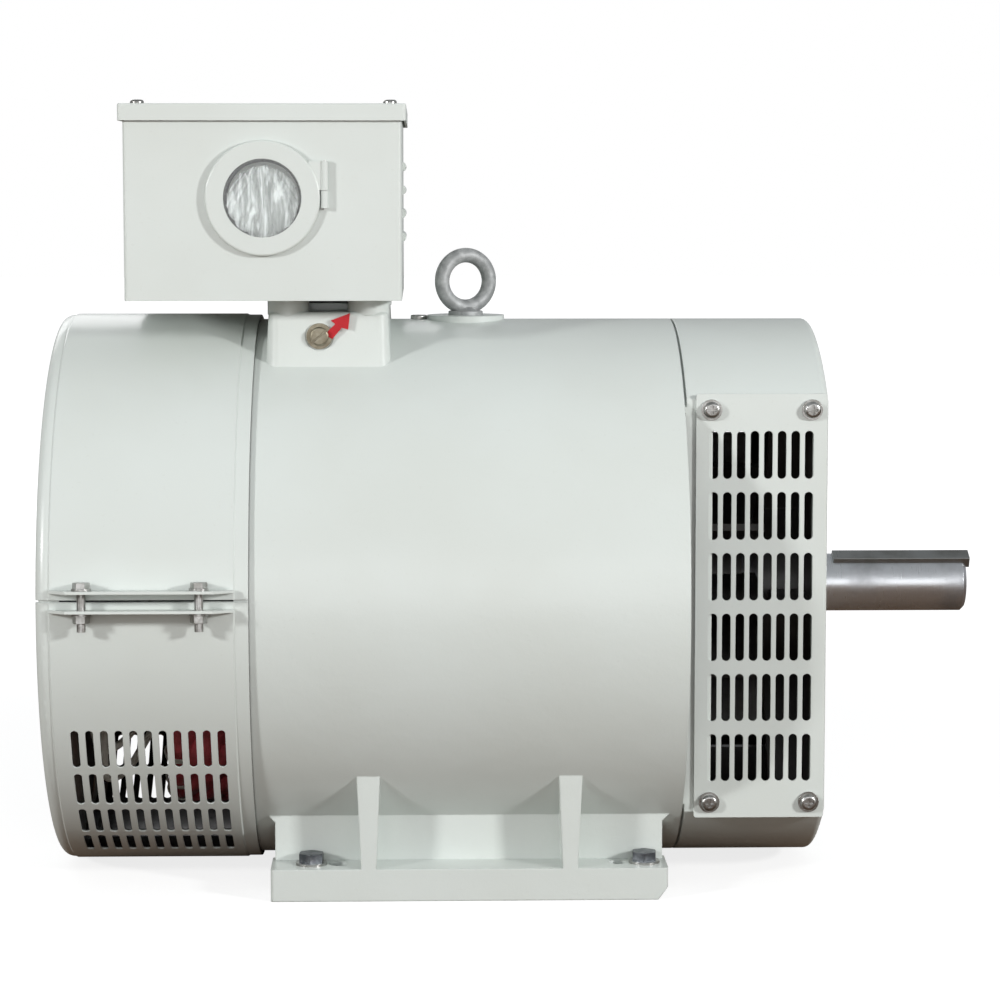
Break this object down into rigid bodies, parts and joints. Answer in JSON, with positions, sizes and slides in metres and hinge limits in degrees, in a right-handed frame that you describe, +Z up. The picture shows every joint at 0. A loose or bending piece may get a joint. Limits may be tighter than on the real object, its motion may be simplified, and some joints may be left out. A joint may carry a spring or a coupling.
{
  "type": "generator alternator head",
  "caption": "Foot-mounted brushed alternator head with a terminal box on top, a slotted drive-end bell, a banded rear shield and a keyed shaft.",
  "frame": {"origin": "centre of the four open foot holes, on the plane of the feet's soles", "axes": "+X along the shaft to its free end, +Z up, and -Y out of the side with the window"},
  "size_m": [0.6691, 0.4129, 0.5492],
  "materials": {
    "paint": "semi-gloss paint, pale grey-green white",
    "zinc": "zinc-plated steel",
    "dark_steel": "blackened steel",
    "cast_steel": "cast steel, as cast",
    "machined_steel": "turned and ground",
    "key_steel": "cold-drawn steel",
    "bearing_steel": "ground and polished",
    "lamination_steel": "varnished laminations",
    "varnished_winding": "red insulating varnish over taped copper",
    "white_sleeve": "glass-fibre sleeve",
    "cast_aluminium": "die-cast",
    "brass": "turned",
    "carbon": "pressed carbon",
    "black_plastic": "moulded",
    "board_plastic": "moulded phenolic",
    "dial_white": "printed card",
    "gasket_rubber": "moulded rubber",
    "window_glass": "clear pane"
  },
  "bodies": {
    "frame": {"frame_casting": "paint", "drive_end_bell": "paint", "side_grille_front": "paint", "side_grille_back": "paint", "bell_screws": "zinc", "rear_end_shield": "paint", "rear_shield_screws": "zinc", "rear_band": "paint", "terminal_box": "paint", "lid_gasket": "gasket_rubber", "box_lid": "paint", "lid_screws": "zinc", "box_screws": "zinc", "cable_grommet": "gasket_rubber", "window_hinge_bracket": "paint", "window_hinge_pin": "zinc", "voltmeter_case": "black_plastic", "voltmeter_dial": "dial_white", "terminal_board": "board_plastic", "terminal_studs": "brass", "winding_leads": "white_sleeve", "stator_core": "lamination_steel", "stator_winding_rear": "varnished_winding", "stator_winding_drive": "varnished_winding", "drive_bearing_cap": "paint", "rear_bearing_cap": "paint", "bearing_cap_screws": "zinc", "brush_holder": "board_plastic", "brush_bracket": "zinc", "brush_bracket_screws": "zinc", "brush_holder_cap": "board_plastic", "brush_spring_1": "zinc", "brush_spring_2": "zinc", "eye_bolt": "cast_steel", "core_lock_screw": "zinc", "grille_screws": "zinc", "grille_washers": "zinc", "clamp_bolts": "zinc", "clamp_washers": "zinc", "clamp_nuts": "zinc", "earth_screw": "zinc", "earth_washer": "zinc", "foot_bolts": "dark_steel", "foot_washers": "dark_steel", "bearing_outer_rings": "bearing_steel"},
    "rotor": {"shaft": "machined_steel", "shaft_key": "key_steel", "rotor_core": "lamination_steel", "field_coils": "varnished_winding", "cooling_fan": "cast_aluminium", "slip_ring_hub": "black_plastic", "slip_rings": "brass", "bearing_inner_rings": "bearing_steel"},
    "window": {"window_ring": "paint", "window_glass": "window_glass"},
    "needle": {"voltmeter_needle": "black_plastic"},
    "brush_1": {"brush_1": "carbon"},
    "brush_2": {"brush_2": "carbon"},
    "drive_cage": {"drive_bearing_cage": "bearing_steel"},
    "rear_cage": {"rear_bearing_cage": "bearing_steel"}
  },
  "joints": [
    {"name": "rotor_spin", "type": "hinge", "parent": "frame", "child": "rotor", "pos_m": [0, 0, 0.2], "axis": [1, 0, 0], "continuous": true},
    {"name": "drive_cage_spin", "type": "hinge", "parent": "frame", "child": "drive_cage", "pos_m": [0, 0, 0.2], "axis": [1, 0, 0], "continuous": true},
    {"name": "rear_cage_spin", "type": "hinge", "parent": "frame", "child": "rear_cage", "pos_m": [0, 0, 0.2], "axis": [1, 0, 0], "continuous": true},
    {"name": "window_hinge", "type": "hinge", "parent": "frame", "child": "window", "pos_m": [-0.1038, -0.133, 0.482], "axis": [0, 0, 1], "range_deg": [0, 110]},
    {"name": "needle_swing", "type": "hinge", "parent": "frame", "child": "needle", "pos_m": [-0.1462, -0.12, 0.46688], "axis": [0, 1, 0], "range_deg": [0, 90], "stiffness_Nm_per_rad": 0.0002},
    {"name": "brush_1_slide", "type": "slide", "parent": "frame", "child": "brush_1", "axis": [0, 0, 1], "range_m": [0, 0.012], "stiffness_N_per_m": 150, "springref_m": -0.033, "deforming": ["brush_spring_1"]},
    {"name": "brush_2_slide", "type": "slide", "parent": "frame", "child": "brush_2", "axis": [0, 0, 1], "range_m": [0, 0.012], "stiffness_N_per_m": 150, "springref_m": -0.033, "deforming": ["brush_spring_2"]}
  ],
  "couplings": [
    {"joint": "drive_cage_spin", "follows": "rotor_spin", "ratio": 0.3809},
    {"joint": "rear_cage_spin", "follows": "rotor_spin", "ratio": 0.3846}
  ]
}
